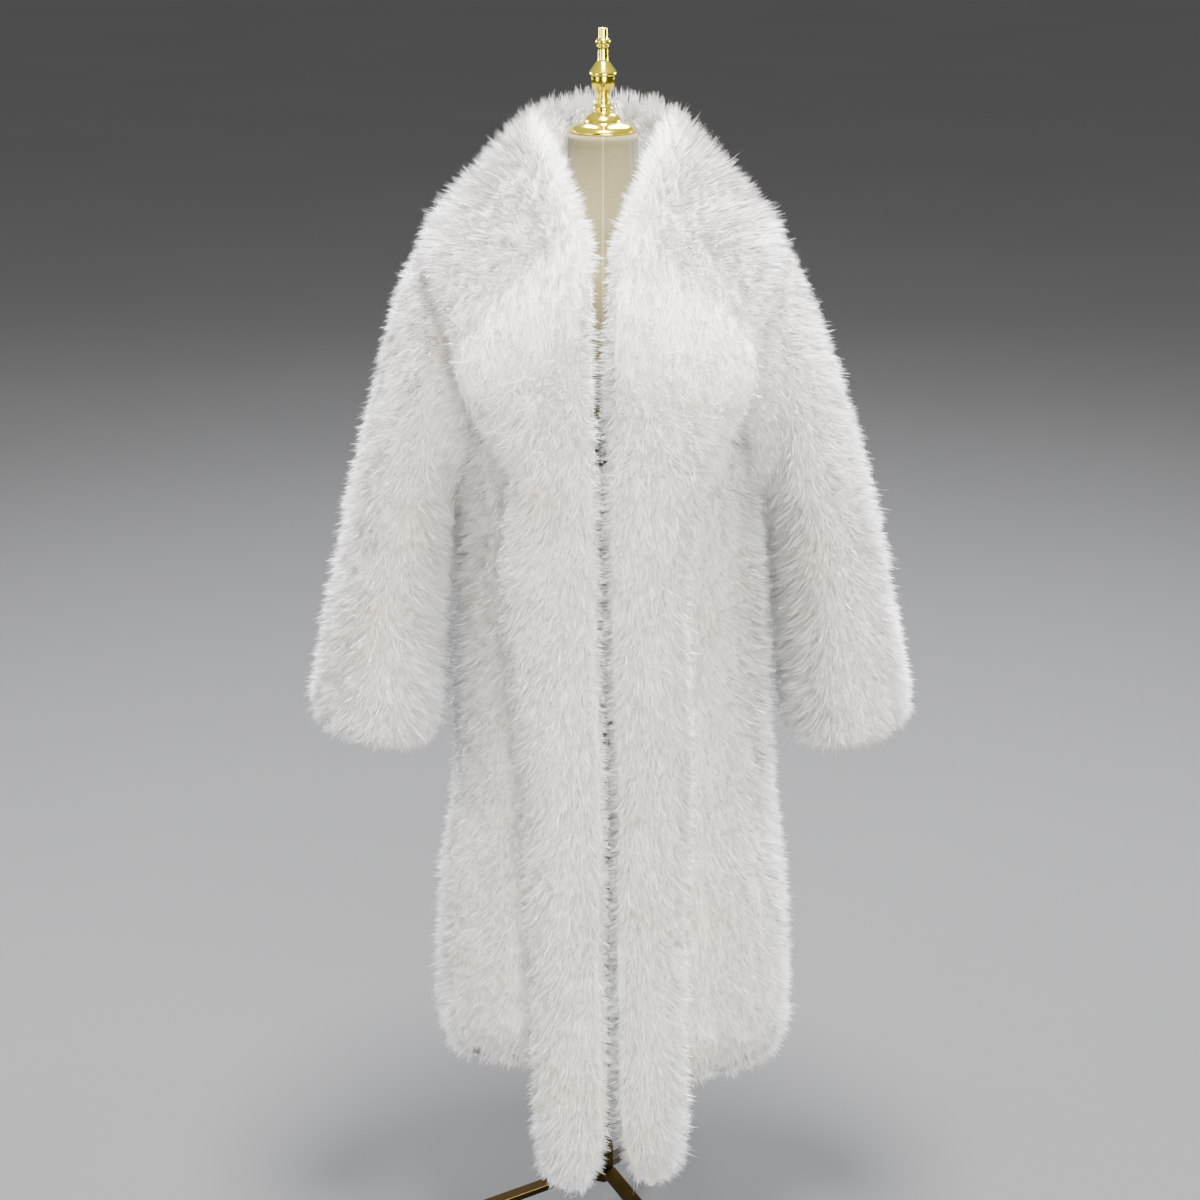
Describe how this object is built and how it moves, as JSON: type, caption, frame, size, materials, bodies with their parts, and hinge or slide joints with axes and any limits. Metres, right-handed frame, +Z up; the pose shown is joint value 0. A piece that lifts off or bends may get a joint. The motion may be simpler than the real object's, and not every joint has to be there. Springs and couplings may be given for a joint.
{
  "type": "faux fur coat on a dress form",
  "caption": "Long white faux fur coat with a wide shawl collar and loose sleeves, worn open on a limbless dress form with a turned neck cap and a tripod foot.",
  "frame": {"origin": "on the floor, under the middle of the whole part's box", "axes": "+Z up; -Y is the coat's front; +X is the wearer's left side"},
  "size_m": [0.782, 0.5006, 1.6346],
  "materials": {
    "fur": "long white faux fur pile",
    "linen": "plain woven beige linen",
    "gold": "polished gold-coloured metal",
    "rubber": "matt black"
  },
  "bodies": {
    "root": {"back": "fur", "front_left": "fur", "front_right": "fur", "sleeve_left": "fur", "sleeve_right": "fur", "collar_left": "fur", "collar_right": "fur", "band_left": "fur", "band_right": "fur", "torso": "linen", "neck_cap": "gold", "pole": "gold", "hub": "gold", "leg_1": "gold", "leg_2": "gold", "leg_3": "gold", "foot_1": "rubber", "foot_2": "rubber", "foot_3": "rubber"}
  },
  "joints": []
}
